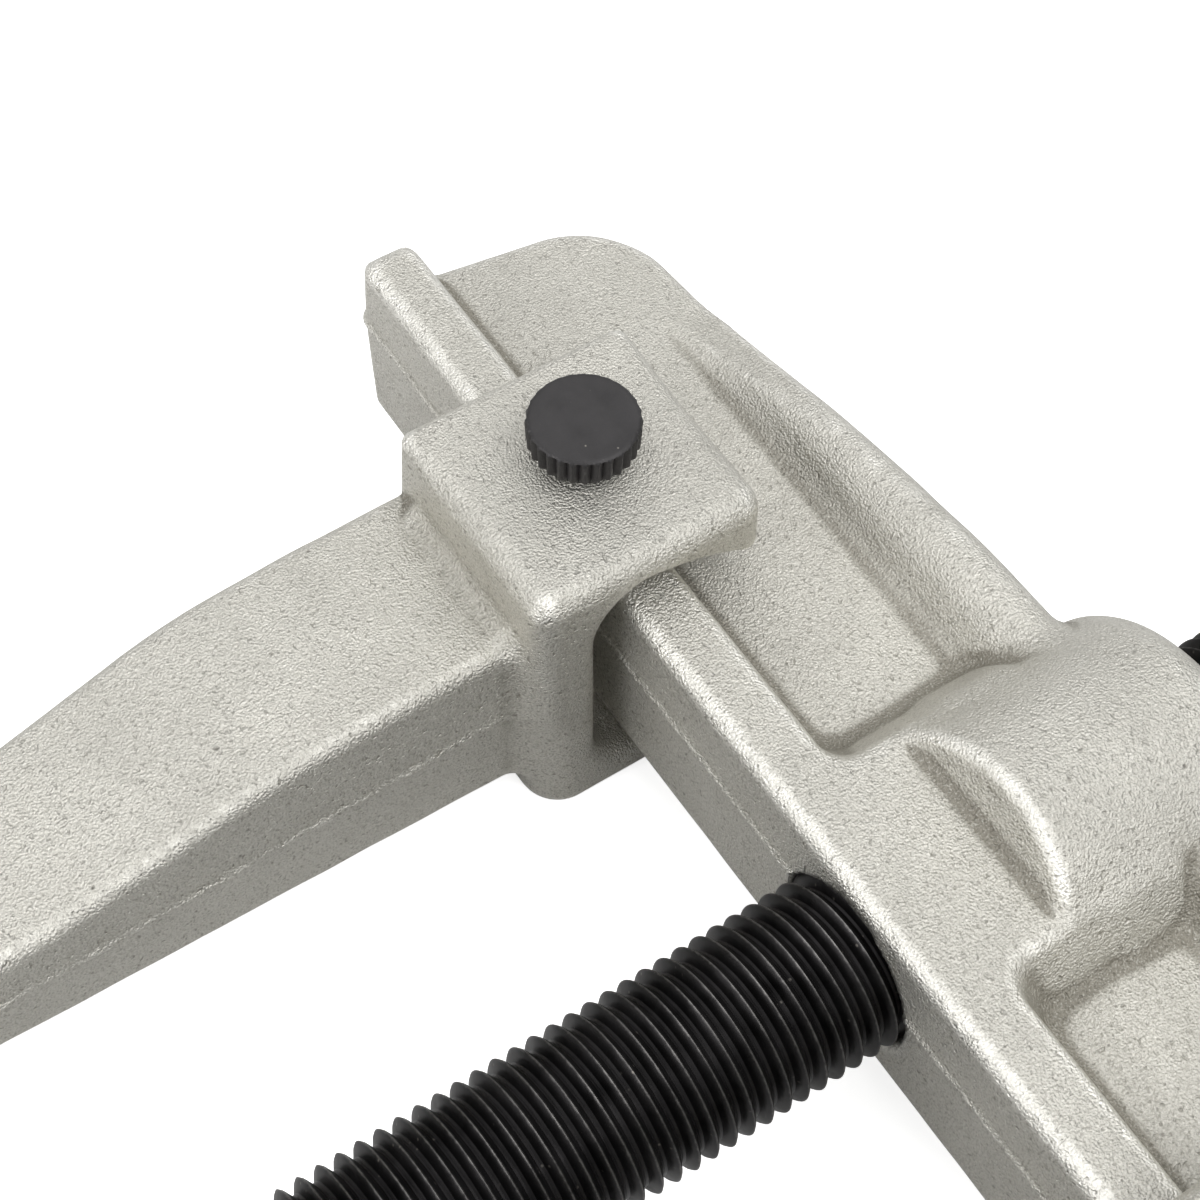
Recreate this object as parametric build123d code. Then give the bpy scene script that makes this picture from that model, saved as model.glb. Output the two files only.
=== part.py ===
from build123d import *
import os

# Two-jaw gear puller, in millimetres.
# X runs along the crossbeam, Y along the spindle from the work (-Y) to the drive hexagon (+Y), Z up.
# Everything is drawn about the spindle axis, with Y = 0 at the crossbeam's front face, and then moved
# so that the puller lies on Z = 0 with its origin in the middle of its footprint.

# ---- crossbeam
BEAM_HALF_LENGTH = 90.5      # spindle axis to the end of the front rail
RAIL_HALF_HEIGHT = 11.8
RAIL_WIDTH = 7.2             # at its top face
RAIL_FOOT_WIDTH = 9.0        # where it meets the web
RAIL_EDGE_RADIUS = 2.2
RAIL_INNER_RADIUS = 1.0
RAIL_TIP_RADIUS = 3.0
WEB_HALF_THICKNESS = 6.2
WEB_END_INSET = 2.0          # the web ends this much short of the front rail
WEB_CORNER_RADIUS = 6.0
BEAM_DEPTH = 36.0            # front face to back edge, beside the hub
BACK_TAPER = 0.09            # the back edge comes forward by this much per millimetre outwards
BACK_RAIL_WIDTH = 9.0
BACK_RAIL_FULL = 26.0        # distance from the axis over which the back rail keeps its height
BACK_RAIL_FADE = 68.0        # distance from the axis where it has sunk into the web
HUB_RADIUS = 16.8
HUB_LENGTH = 41.8
HUB_STEP = 14.5              # in front of this the hub is planed down to the rail's height
HUB_REAR_RADIUS = 4.5

# ---- spindle
SPINDLE_RADIUS = 8.95        # outside of the M18 x 2 thread
BORE_CLEARANCE = 0.05
SPINDLE_FRONT = 75.0         # front end of the thread ahead of the crossbeam's front face
SPINDLE_REAR = 72.0          # rear end of the thread
RUNOUT_RADIUS = 7.6          # turned neck between the thread and the hexagon
RUNOUT_LENGTH = 3.0
HEX_ACROSS_FLATS = 19.0
HEX_LENGTH = 17.0
HEX_CHAMFER = 1.2
SPINDLE_CHAMFER = 1.4

# ---- centring tip, held in the spindle's nose by a wire ring and pushed by a ball
TIP_SHANK_RADIUS = 4.5
TIP_SHANK_LENGTH = 9.0
TIP_NOSE_RADIUS = 6.5
TIP_COLLAR_LENGTH = 4.0
TIP_CONE_LENGTH = 8.0
TIP_POINT_RADIUS = 1.0
TIP_CLEARANCE = 0.08
TIP_GAP = 0.4                # between the tip's collar and the spindle's end
BALL_RADIUS = 2.5
RING_WIRE_RADIUS = 0.7
RING_BACK = 4.5              # ring centre behind the spindle's front end

# ---- jaws
JAW_SPREAD = 49.8            # spindle axis to the middle of a jaw's head
JAW_WIDTH = 27.2
JAW_HALF_HEIGHT = 18.5       # height of the head's cheeks from the mid-plane
JAW_FRONT = 10.4             # head reaches this far ahead of the crossbeam's front face
JAW_REAR = 16.5              # and this far behind it
SLOT_FRONT_GAP = 3.2
SLOT_TOP_GAP = 3.0
SLOT_REAR_GAP = 0.6
SLOT_WEB_GAP = 3.0
SLOT_FRONT_RADIUS = 6.5
SLOT_REAR_RADIUS = 3.5
JAW_EDGE_RADIUS = 2.4
LIP_RADIUS = 2.0
ARM_INSET = 3.2              # the arm's inner side stands back from the head's by this much
ARM_UPPER = 9.6              # arm above the parting plane, next to the head
ARM_UPPER_THIN = 5.6         # and along the lower arm and the hook
ARM_LOWER = 13.0             # arm below the parting plane, next to the head
ARM_LOWER_THIN = 9.0         # and where it has thinned
HOOK_LOWER = 7.4             # and at the hook's root
ARM_THICK_END = 38.0         # distances ahead of the front face between which the arm thins
ARM_THIN_START = 62.0
ARM_THICK_TAPER = 1.4        # the arm's outer edge has come in by this much where it starts to thin
ARM_OUTER_TAPER = 9.5        # and by this much at the hook
JAW_REACH = 100.0            # front face to the hook's pulling face
HOOK_DEPTH = 13.0            # hook's reach inwards from the arm
HOOK_ROOT_THICKNESS = 11.5
HOOK_TIP_THICKNESS = 5.0
HOOK_INNER_RADIUS = 2.5
HOOK_HEEL = 4.0              # the outer corner below the hook is cut back by this much

# ---- thumb screws
SCREW_RADIUS = 2.95          # outside of the M6 thread
SCREW_CLEARANCE = 0.05
SCREW_HEAD_RADIUS = 5.8
SCREW_HEAD_HEIGHT = 4.4
SCREW_STANDOFF = 1.0         # head's underside above the cheek
SCREW_END_GAP = 0.05         # screw's end above the rail
SCREW_OFFSET = 4.2           # screw's axis behind the crossbeam's front face
SCREW_OUTSET = 1.4           # and outside the middle of the jaw's head
SCREW_EDGE = 0.5
FLUTE_COUNT = 28
FLUTE_RADIUS = 0.42

# ---- values that follow
BORE_RADIUS = SPINDLE_RADIUS + BORE_CLEARANCE
SLOT_HALF_HEIGHT = RAIL_HALF_HEIGHT + SLOT_TOP_GAP
SLOT_BACK = RAIL_FOOT_WIDTH + SLOT_REAR_GAP
WEB_SLOT_HALF = WEB_HALF_THICKNESS + SLOT_WEB_GAP
SCREW_SPREAD = JAW_SPREAD + SCREW_OUTSET
HEX_FRONT = SPINDLE_REAR + RUNOUT_LENGTH
PULLER_REAR = HEX_FRONT + HEX_LENGTH
PULLER_FRONT = JAW_REACH + HOOK_ROOT_THICKNESS
MID_Y = (PULLER_REAR - PULLER_FRONT) / 2
LIFT = Pos(0, -MID_Y, JAW_HALF_HEIGHT)


def along_x(profile, x0, x1):
    """Extrude a (Y, Z) profile, drawn as (x, y), from x0 to x1."""
    return extrude(Plane.YZ.offset(x0) * profile, amount=x1 - x0)


def along_y(profile, y0, y1):
    """Extrude an (X, Z) profile, drawn as (x, y), from y0 to y1."""
    plane = Plane(origin=(0, y0, 0), x_dir=(1, 0, 0), z_dir=(0, -1, 0))
    return extrude(plane * profile, amount=-(y1 - y0))


def along_z(profile, half):
    """Extrude an (X, Y) profile to both sides of the mid-plane."""
    return extrude(Pos(0, 0, -half) * profile, amount=2 * half)


def face(*points):
    return make_face(Polyline(*points, close=True))


def round_rod(radius, y0, y1):
    """A cylinder about the spindle axis."""
    return along_y(Circle(radius), y0, y1)


def back_edge(x):
    """The back edge's distance behind the front face, at x outwards from the axis."""
    return BEAM_DEPTH - BACK_TAPER * (x - HUB_RADIUS)


def crossbeam():
    top, web = RAIL_HALF_HEIGHT, WEB_HALF_THICKNESS
    section = face((0, -top), (RAIL_WIDTH, -top), (RAIL_FOOT_WIDTH, -web), (RAIL_FOOT_WIDTH, web),
                   (RAIL_WIDTH, top), (0, top))
    front = [v for v in section.vertices() if v.Y > top - 0.1 or v.Y < 0.1 - top]
    section = fillet([v for v in front if v.X < 0.1], RAIL_EDGE_RADIUS)
    inner = [v for v in section.vertices() if abs(v.X - RAIL_WIDTH) < 0.1]
    section = fillet(inner, RAIL_INNER_RADIUS)
    rail = along_x(section, -BEAM_HALF_LENGTH, BEAM_HALF_LENGTH)
    tips = Rectangle(2 * BEAM_HALF_LENGTH, RAIL_FOOT_WIDTH, align=(Align.CENTER, Align.MIN))
    tips = fillet([v for v in tips.vertices() if v.Y < 0.1], RAIL_TIP_RADIUS)
    rail &= along_z(tips, top)

    end = BEAM_HALF_LENGTH - WEB_END_INSET
    outline = face((-end, 1), (-end, back_edge(end)), (-HUB_RADIUS, BEAM_DEPTH), (0, BEAM_DEPTH),
                   (HUB_RADIUS, BEAM_DEPTH), (end, back_edge(end)), (end, 1))
    corners = [v for v in outline.vertices() if abs(abs(v.X) - end) < 0.1 and v.Y > RAIL_WIDTH]
    plate = along_z(fillet(corners, WEB_CORNER_RADIUS), web)

    side = face((-BACK_RAIL_FADE, -web), (-BACK_RAIL_FULL, -top), (BACK_RAIL_FULL, -top),
                (BACK_RAIL_FADE, -web), (BACK_RAIL_FADE, web), (BACK_RAIL_FULL, top),
                (-BACK_RAIL_FULL, top), (-BACK_RAIL_FADE, web))
    fade = back_edge(BACK_RAIL_FADE)
    inner_y = BEAM_DEPTH - BACK_RAIL_WIDTH
    band = face((-BACK_RAIL_FADE, fade - 1), (-BACK_RAIL_FADE, fade), (-HUB_RADIUS, BEAM_DEPTH),
                (HUB_RADIUS, BEAM_DEPTH), (BACK_RAIL_FADE, fade), (BACK_RAIL_FADE, fade - 1),
                (BACK_RAIL_FULL, inner_y), (-BACK_RAIL_FULL, inner_y))
    back_rail = along_y(side, RAIL_WIDTH, BEAM_DEPTH) & along_z(band, top)

    hub = round_rod(HUB_RADIUS, 0, HUB_LENGTH)
    rear_rim = hub.edges().filter_by(GeomType.CIRCLE).sort_by(Axis.Y)[-1]
    hub = fillet(rear_rim, HUB_REAR_RADIUS)
    for side_z in (-1, 1):
        planed = Box(4 * HUB_RADIUS, HUB_STEP, HUB_RADIUS,
                     align=(Align.CENTER, Align.MIN, Align.CENTER))
        hub -= Pos(0, 0, side_z * (top + HUB_RADIUS / 2)) * planed
    rim = fillet_front(hub)

    body = rail + plate + back_rail + rim
    return body - round_rod(BORE_RADIUS, -1, HUB_LENGTH + 1)


def fillet_front(hub):
    """Round the hub's front corners as the rail's are, so that the front face runs through."""
    edges = [e for e in hub.edges().filter_by(Axis.X) if e.center().Y < 0.1]
    return fillet(edges, RAIL_EDGE_RADIUS)


def spindle():
    front, rear = -SPINDLE_FRONT, SPINDLE_REAR
    rod = round_rod(SPINDLE_RADIUS, front, rear)
    rod = chamfer(rod.edges().filter_by(GeomType.CIRCLE), SPINDLE_CHAMFER)
    neck = round_rod(RUNOUT_RADIUS, rear, HEX_FRONT)
    across_corners = HEX_ACROSS_FLATS / 3 ** 0.5
    hexagon = along_y(RegularPolygon(across_corners, 6, major_radius=True), HEX_FRONT, PULLER_REAR)
    turned = round_rod(across_corners, HEX_FRONT, PULLER_REAR)
    turned = chamfer(turned.edges().filter_by(GeomType.CIRCLE), HEX_CHAMFER)
    body = rod + neck + (hexagon & turned)

    socket = TIP_SHANK_RADIUS + TIP_CLEARANCE
    body -= round_rod(socket, front - 1, front + TIP_SHANK_LENGTH)
    body -= round_rod(BALL_RADIUS + TIP_CLEARANCE, front, front + TIP_SHANK_LENGTH + 2 * BALL_RADIUS)
    ring_y = front + RING_BACK
    groove = RING_WIRE_RADIUS + TIP_CLEARANCE
    return body - round_rod(TIP_SHANK_RADIUS + groove, ring_y - groove, ring_y + groove)


def thrust_ball():
    centre = -SPINDLE_FRONT + TIP_SHANK_LENGTH + BALL_RADIUS
    return Pos(0, centre, 0) * Sphere(BALL_RADIUS)


def tip_ring():
    """Split wire ring, half in the spindle's groove and half in the tip's."""
    ring = Torus(TIP_SHANK_RADIUS, RING_WIRE_RADIUS - TIP_CLEARANCE, rotation=(90, 0, 0))
    gap = Box(TIP_SHANK_RADIUS / 2, TIP_SHANK_RADIUS, 4 * TIP_SHANK_RADIUS,
              align=(Align.CENTER, Align.CENTER, Align.MIN))
    return Pos(0, -SPINDLE_FRONT + RING_BACK, 0) * (ring - gap)


def centring_tip():
    front = -SPINDLE_FRONT
    collar = front - TIP_GAP
    cone = collar - TIP_COLLAR_LENGTH
    point = cone - TIP_CONE_LENGTH
    back = front + TIP_SHANK_LENGTH - TIP_CLEARANCE
    ring_y = front + RING_BACK
    wire = RING_WIRE_RADIUS + TIP_CLEARANCE
    inner = TIP_SHANK_RADIUS - wire
    half = face((0, point), (TIP_POINT_RADIUS, point), (TIP_NOSE_RADIUS, cone),
                (TIP_NOSE_RADIUS, collar), (TIP_SHANK_RADIUS, collar), (TIP_SHANK_RADIUS, ring_y - wire),
                (inner, ring_y - wire), (inner, ring_y + wire), (TIP_SHANK_RADIUS, ring_y + wire),
                (TIP_SHANK_RADIUS, back), (0, back))
    return revolve(half, Axis.Y, 360)


def jaw():
    """The left jaw, on the -X side."""
    outer = -JAW_SPREAD - JAW_WIDTH / 2
    inner = -JAW_SPREAD + JAW_WIDTH / 2
    head = Box(JAW_WIDTH, JAW_FRONT + JAW_REAR, 2 * JAW_HALF_HEIGHT)
    head = Pos(-JAW_SPREAD, (JAW_REAR - JAW_FRONT) / 2, 0) * fillet(head.edges(), JAW_EDGE_RADIUS)
    arm_inner = inner - ARM_INSET

    root = -JAW_REACH - HOOK_ROOT_THICKNESS
    hook_tip = arm_inner + HOOK_DEPTH
    tip_y = -JAW_REACH - HOOK_TIP_THICKNESS
    heel = outer + ARM_OUTER_TAPER
    outline = face((outer, 0), (outer, -JAW_FRONT), (outer + ARM_THICK_TAPER, -ARM_THICK_END),
                   (heel, -JAW_REACH), (heel + HOOK_HEEL, root), (arm_inner, root), (hook_tip, tip_y),
                   (hook_tip, -JAW_REACH), (arm_inner, -JAW_REACH), (arm_inner, 0))
    corner = outline.vertices().sort_by_distance((arm_inner, -JAW_REACH, 0))[0]
    outline = fillet(corner, HOOK_INNER_RADIUS)
    tips = [v for v in outline.vertices() if v.X > hook_tip - 0.1 or v.Y < root + 0.1]
    outline = fillet(tips, HOOK_TIP_THICKNESS / 4)

    side = face((0, ARM_UPPER), (-ARM_THICK_END, ARM_UPPER), (-ARM_THIN_START, ARM_UPPER_THIN),
                (root, ARM_UPPER_THIN), (root, -HOOK_LOWER), (-ARM_THIN_START, -ARM_LOWER_THIN),
                (-JAW_FRONT, -ARM_LOWER), (0, -ARM_LOWER))
    bends = [v for v in side.vertices() if v.Y > 0 and -ARM_THIN_START - 0.1 < v.X < 0.1 - ARM_THICK_END]
    side = fillet(bends, ARM_THIN_START - ARM_THICK_END)
    arm = along_z(outline, ARM_LOWER) & along_x(side, outer - 1, hook_tip + 1)

    slot = face((-SLOT_FRONT_GAP, -SLOT_HALF_HEIGHT), (SLOT_BACK, -SLOT_HALF_HEIGHT),
                (SLOT_BACK, SLOT_HALF_HEIGHT), (-SLOT_FRONT_GAP, SLOT_HALF_HEIGHT))
    slot = fillet([v for v in slot.vertices() if v.X < 0], SLOT_FRONT_RADIUS)
    slot = fillet([v for v in slot.vertices() if v.X > SLOT_BACK - 0.1], SLOT_REAR_RADIUS)
    mouth = Pos(JAW_REAR, 0) * Rectangle(2 * (JAW_REAR - RAIL_WIDTH), 2 * WEB_SLOT_HALF)
    flare = face((JAW_REAR - LIP_RADIUS, WEB_SLOT_HALF), (JAW_REAR + 1, WEB_SLOT_HALF),
                 (JAW_REAR + 1, WEB_SLOT_HALF + LIP_RADIUS + 1))
    screw_hole = Cylinder(SCREW_RADIUS + SCREW_CLEARANCE, 2 * JAW_HALF_HEIGHT,
                          align=(Align.CENTER, Align.CENTER, Align.MIN))
    cut = along_x(slot + mouth + flare + mirror(flare, Plane.XZ), outer - 1, inner + 1)
    body = head + arm - cut
    return body - Pos(-SCREW_SPREAD, SCREW_OFFSET, 0) * screw_hole


def thumb_screw():
    """The left jaw's clamping screw, with a fluted head."""
    under = JAW_HALF_HEIGHT + SCREW_STANDOFF
    end = RAIL_HALF_HEIGHT + SCREW_END_GAP
    upright = (Align.CENTER, Align.CENTER, Align.MIN)
    head = Cylinder(SCREW_HEAD_RADIUS, SCREW_HEAD_HEIGHT, align=upright)
    head = chamfer(head.edges().filter_by(GeomType.CIRCLE), SCREW_EDGE)
    for flute in PolarLocations(SCREW_HEAD_RADIUS + FLUTE_RADIUS / 3, FLUTE_COUNT):
        head -= flute * Cylinder(FLUTE_RADIUS, SCREW_HEAD_HEIGHT, align=upright)
    shank = Cylinder(SCREW_RADIUS, under - end, align=upright)
    body = Pos(0, 0, under) * head + Pos(0, 0, end) * shank
    return Pos(-SCREW_SPREAD, SCREW_OFFSET, 0) * body


os.makedirs("parts", exist_ok=True)
left_jaw = jaw()
left_screw = thumb_screw()
nodes = {
    "crossbeam": crossbeam(),
    "spindle": spindle(),
    "thrust_ball": thrust_ball(),
    "tip_retaining_ring": tip_ring(),
    "centring_tip": centring_tip(),
    "jaw_left": left_jaw,
    "jaw_right": mirror(left_jaw, Plane.YZ),
    "thumb_screw_left": left_screw,
    "thumb_screw_right": mirror(left_screw, Plane.YZ),
}
for name, shape in nodes.items():
    export_step(LIFT * shape, f"parts/{name}.step")
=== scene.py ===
import math

import bmesh
import bpy
import numpy as np
from bpy.props import FloatProperty, FloatVectorProperty, IntProperty, PointerProperty
from mathutils import Matrix, Vector


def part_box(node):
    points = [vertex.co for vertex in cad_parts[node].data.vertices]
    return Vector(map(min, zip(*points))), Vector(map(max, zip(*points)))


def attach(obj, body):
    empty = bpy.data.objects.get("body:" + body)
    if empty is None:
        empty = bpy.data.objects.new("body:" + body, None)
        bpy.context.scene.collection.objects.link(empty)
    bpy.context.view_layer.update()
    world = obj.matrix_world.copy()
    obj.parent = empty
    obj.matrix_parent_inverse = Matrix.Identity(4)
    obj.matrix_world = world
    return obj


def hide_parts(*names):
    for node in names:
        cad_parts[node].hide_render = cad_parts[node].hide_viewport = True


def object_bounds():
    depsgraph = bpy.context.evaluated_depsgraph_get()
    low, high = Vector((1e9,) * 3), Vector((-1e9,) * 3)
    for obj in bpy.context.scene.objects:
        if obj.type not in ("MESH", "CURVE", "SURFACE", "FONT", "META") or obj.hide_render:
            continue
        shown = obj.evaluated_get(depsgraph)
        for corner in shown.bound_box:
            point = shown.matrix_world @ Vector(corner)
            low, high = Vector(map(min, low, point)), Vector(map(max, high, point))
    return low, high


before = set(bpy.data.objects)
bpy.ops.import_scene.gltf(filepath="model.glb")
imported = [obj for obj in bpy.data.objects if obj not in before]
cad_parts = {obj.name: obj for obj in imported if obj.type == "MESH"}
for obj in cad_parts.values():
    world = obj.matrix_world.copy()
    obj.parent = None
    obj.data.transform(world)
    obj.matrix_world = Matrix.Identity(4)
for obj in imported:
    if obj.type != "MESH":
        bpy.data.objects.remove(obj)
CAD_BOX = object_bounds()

bl_info = {
    "name": "Two-jaw gear puller",
    "version": (1, 0, 0),
    "blender": (4, 5, 0),
    "location": "3D View > Sidebar > Puller",
    "description": "Builds the forged crossbeam and jaws, the spindle and the thumb screws of a gear puller",
    "category": "Add Mesh",
}

# Shapes are drawn in millimetres about the spindle axis: x outwards along the crossbeam, y back from its
# front face, z up from the parting plane. place() takes them to the frame.
FRONT_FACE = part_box("crossbeam")[0].y
MID_PLANE = (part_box("jaw_left")[0].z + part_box("jaw_left")[1].z) / 2

# Main sizes of the crossbeam
PARTING = 3.2           # height of its trimmed parting line
RAIL_HALF = 11.8        # half height of the front rail
RAIL_DEPTH = 6.8        # front to back of the rail's top face
RAIL_END = 90.1
WEB_HALF = 6.2          # half thickness of the web
WEB_END = 89.2
WEB_CORNER = 9.5
HUB_RADIUS = 16.75
HUB_REAR = 41.7
HUB_STEP = 14.3         # in front of this the hub is as flat as the rail
BORE_RADIUS = 9.02

# Main sizes of a jaw
HEAD_HALF = 18.45       # half height of the head
HEAD_INNER, HEAD_OUTER = 36.2, 63.4
HEAD_FRONT, HEAD_REAR = -10.4, 16.6
SLOT_FRONT = -3.2
SLOT_HALF = 14.8        # half height of the slot for the rail
MOUTH_HALF = 9.4        # half height of the mouth for the web
SCREW_X, SCREW_Y = 51.2, 4.2
SCREW_HOLE = 3.06

# Main sizes of the spindle, the tip and the thumb screws
HEX_FLATS, HEX_LENGTH = 19.0, 17.0
NECK_RADIUS, NECK_LENGTH = 7.6, 3.0
SOCKET_RADIUS, SOCKET_DEPTH = 4.58, 9.0
SEAT_RADIUS, SEAT_DEPTH = 2.58, 14.0        # the thrust ball's seat behind the socket
CONE_LENGTH, COLLAR_LENGTH = 8.0, 4.0
SHANK_RADIUS, POINT_RADIUS = 4.5, 1.0
RING_BACK, RING_GROOVE = 4.42, 0.78         # retaining groove's place and half width
SCREW_HEAD = 4.4
SCREW_THREAD, SCREW_THREAD_DEPTH = 2.93, 0.6


# ---------------------------------------------------------------- sizes and colours

def length(name, description, default):
    return FloatProperty(name=name, description=description, default=default, unit="LENGTH", precision=5)


def colour(name, description, default):
    return FloatVectorProperty(name=name, description=description, default=default, subtype="COLOR",
                               size=3, min=0, max=1)


def power(name, description, default):
    return FloatProperty(name=name, description=description, default=default, subtype="POWER",
                         unit="POWER")


class PullerBeam(bpy.types.PropertyGroup):
    step: length("Surface step", "Spacing of the points over the forging", 0.00056)
    rail_edge: length("Rail edge radius", "Rounding of the front rail's top edges", 0.0015)
    cove: length("Cove radius", "Hollow rounding where rails and hub meet the web", 0.0014)
    flash: length("Parting ridge", "Height of the trimmed forging flash", 0.00032)
    ripple: length("Unevenness", "Slow waviness of the forged surface", 0.00003)


class PullerJaw(bpy.types.PropertyGroup):
    step: length("Surface step", "Spacing of the points over the forging", 0.00043)
    head_edge: length("Head edge radius", "Rounding of the head's top edges", 0.0024)
    cove: length("Cove radius", "Hollow rounding where the arm leaves the head", 0.0026)
    flash: length("Parting ridge", "Height of the trimmed forging flash", 0.00024)
    ripple: length("Unevenness", "Slow waviness of the forged surface", 0.00003)


class PullerSpindle(bpy.types.PropertyGroup):
    radius: length("Thread radius", "Outside radius of the thread", 0.00893)
    pitch: length("Thread pitch", "Advance in one turn", 0.002)
    depth: length("Thread depth", "Crest to root", 0.00122)
    segments: IntProperty(name="Segments", description="Steps round one turn", default=72, min=24)


class PullerScrew(bpy.types.PropertyGroup):
    head_radius: length("Head radius", "Outside radius of the fluted head", 0.0057)
    flutes: IntProperty(name="Flutes", description="Grooves round the head", default=28, min=6)
    flute_depth: length("Flute depth", "Depth of one groove", 0.00055)
    pitch: length("Thread pitch", "Advance in one turn", 0.001)


class PullerFinish(bpy.types.PropertyGroup):
    nickel: colour("Nickel", "Colour of the matt nickel plating", (0.60, 0.585, 0.535))
    # Rubbed edges, partly real wear and partly painted highlight; also the colour of the painted glints in
    # the grain.
    nickel_rubbed_and_highlight: colour("Rubbed nickel and painted highlight", "Colour of edges rubbed bright and of painted highlights", (0.86, 0.845, 0.79))
    # Painted shade colour: coves and corners, and the grain pits, much darker on steep side faces.
    nickel_pit_and_cove_shade: colour("Painted pit and cove shade", "Painted shade in coves, corners and grain pits", (0.30, 0.285, 0.245))
    grain: length("Blast grain", "Size of one blasted dimple", 0.00024)
    oxide: colour("Black oxide", "Colour of the oxide on spindle and screws", (0.020, 0.019, 0.0195))
    oxide_worn: colour("Rubbed oxide", "Colour of rubbed crests and rims", (0.16, 0.155, 0.15))
    steel: colour("Turned steel", "Colour of the bright turned parts", (0.60, 0.59, 0.575))


class PullerStage(bpy.types.PropertyGroup):
    floor: colour("Floor", "Colour of the floor", (0.93, 0.93, 0.93))
    key: power("Overhead light", "Power of the large overhead panel", 4.2)
    fill: power("Side light", "Power of the right-hand panel; the front one has three quarters of it", 5.0)
    sky: FloatProperty(name="Room light", description="Even light from all round", default=0.44, min=0)


# ---------------------------------------------------------------- forged shapes

def join(a, b, r):
    """Union of two solids with a cove of radius r where they meet."""
    return np.maximum(r, np.minimum(a, b)) - np.hypot(np.maximum(r - a, 0), np.maximum(r - b, 0))


def meet(a, b, r):
    """What two solids share, with its edge rounded to radius r."""
    return np.minimum(-r, np.maximum(a, b)) + np.hypot(np.maximum(r + a, 0), np.maximum(r + b, 0))


def ramp(t):
    t = np.clip(t, 0, 1)
    return t * t * (3 - 2 * t)


def eased(y, ys, values, reach=3.0):
    """A line through the given values, with its bends softened over a few millimetres."""
    steps = np.linspace(-reach, reach, 7)
    return sum(np.interp(y + s, ys, values) for s in steps) / len(steps)


def outline(x, y, points):
    """Distance to a closed polygon, negative inside it."""
    best, inside = None, None
    for (ax, ay), (bx, by) in zip(points, points[1:] + points[:1]):
        ex, ey = bx - ax, by - ay
        wx, wy = x - ax, y - ay
        t = np.clip((wx * ex + wy * ey) / (ex * ex + ey * ey), 0, 1)
        d = (wx - ex * t) ** 2 + (wy - ey * t) ** 2
        crosses = ((ay > y) != (by > y)) & (wx * ey * np.sign(ey) < ex * wy * np.sign(ey))
        best = d if best is None else np.minimum(best, d)
        inside = crosses if inside is None else inside ^ crosses
    return np.where(inside, -1.0, 1.0) * np.sqrt(best)


def ripple(x, y, z, size):
    """Slow unevenness between -1 and 1."""
    k = 2 * math.pi / size
    a = np.sin(k * (0.83 * x + 0.55 * y) + 1.7 * np.sin(k * 0.31 * (y - 0.6 * z)))
    b = np.sin(k * (0.62 * z - 0.79 * y + 0.21 * x) + 1.3 * np.sin(k * 0.43 * (x + z)) + 1.9)
    c = np.sin(k * (1.31 * x - 1.07 * z + 0.5 * y) + 0.7)
    return (a + b + 0.7 * c) / 2.7


def levels(low, high, step, fine=None):
    """Grid positions from low to high, closer together about the height fine if it is given."""
    if fine is None:
        return np.linspace(low, high, int(math.ceil((high - low) / step)) + 1)
    near = fine + np.linspace(-1.17, 1.17, 10)
    below = np.linspace(low, near[0], int(math.ceil((near[0] - low) / step)) + 1)[:-1]
    above = np.linspace(near[-1], high, int(math.ceil((high - near[-1]) / step)) + 1)[1:]
    return np.concatenate([below, near, above])


def skin(field, xs, ys, zs):
    """Points and outward quads over the surface where field is zero, inside being negative."""
    axes = [np.asarray(v, float) for v in (xs, ys, zs)]
    f = field(axes[0][:, None, None], axes[1][None, :, None], axes[2][None, None, :])
    f = np.broadcast_to(f, [len(v) for v in axes]).astype(np.float64)
    f = np.where(f == 0, 1e-9, f)
    inside = f < 0
    count = np.zeros([n - 1 for n in f.shape], np.uint8)
    corner = [(i, j, k) for i in (0, 1) for j in (0, 1) for k in (0, 1)]
    for i, j, k in corner:
        count += inside[i:f.shape[0] - 1 + i, j:f.shape[1] - 1 + j, k:f.shape[2] - 1 + k]
    active = (count > 0) & (count < 8)
    number = np.full(active.shape, -1, np.int64)
    cells = np.argwhere(active)
    number[active] = np.arange(len(cells))
    total, hits = np.zeros((len(cells), 3)), np.zeros(len(cells))
    for axis in range(3):
        others = [n for n in range(3) if n != axis]
        for p in (0, 1):
            for q in (0, 1):
                a = cells.copy()
                a[:, others[0]] += p
                a[:, others[1]] += q
                b = a.copy()
                b[:, axis] += 1
                fa, fb = f[tuple(a.T)], f[tuple(b.T)]
                cut = (fa < 0) != (fb < 0)
                t = np.where(cut, fa / np.where(cut, fa - fb, 1), 0)
                pa = np.stack([axes[n][a[:, n]] for n in range(3)], 1)
                pb = np.stack([axes[n][b[:, n]] for n in range(3)], 1)
                total += np.where(cut[:, None], pa + t[:, None] * (pb - pa), 0)
                hits += cut
    points = total / hits[:, None]
    quads = []
    for axis in range(3):
        u, v = (axis + 1) % 3, (axis + 2) % 3
        a = np.take(inside, range(f.shape[axis] - 1), axis)
        b = np.take(inside, range(1, f.shape[axis]), axis)
        edge = np.argwhere(a != b)
        edge = edge[(edge[:, u] > 0) & (edge[:, v] > 0)
                    & (edge[:, u] < f.shape[u] - 1) & (edge[:, v] < f.shape[v] - 1)]
        ring = []
        for du, dv in ((-1, -1), (0, -1), (0, 0), (-1, 0)):
            cell = edge.copy()
            cell[:, u] += du
            cell[:, v] += dv
            ring.append(number[tuple(cell.T)])
        quad = np.stack(ring, 1)
        outward = a[tuple(edge.T)]
        quad[~outward] = quad[~outward][:, ::-1]
        quads.append(quad)
    return points, np.concatenate(quads)


def slope(field, p, h=0.04):
    """The field's value and gradient at points p."""
    grad = np.empty_like(p)
    for n in range(3):
        d = np.zeros(3)
        d[n] = h
        grad[:, n] = (field(*(p + d).T) - field(*(p - d).T)) / (2 * h)
    return field(*p.T), grad


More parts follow.
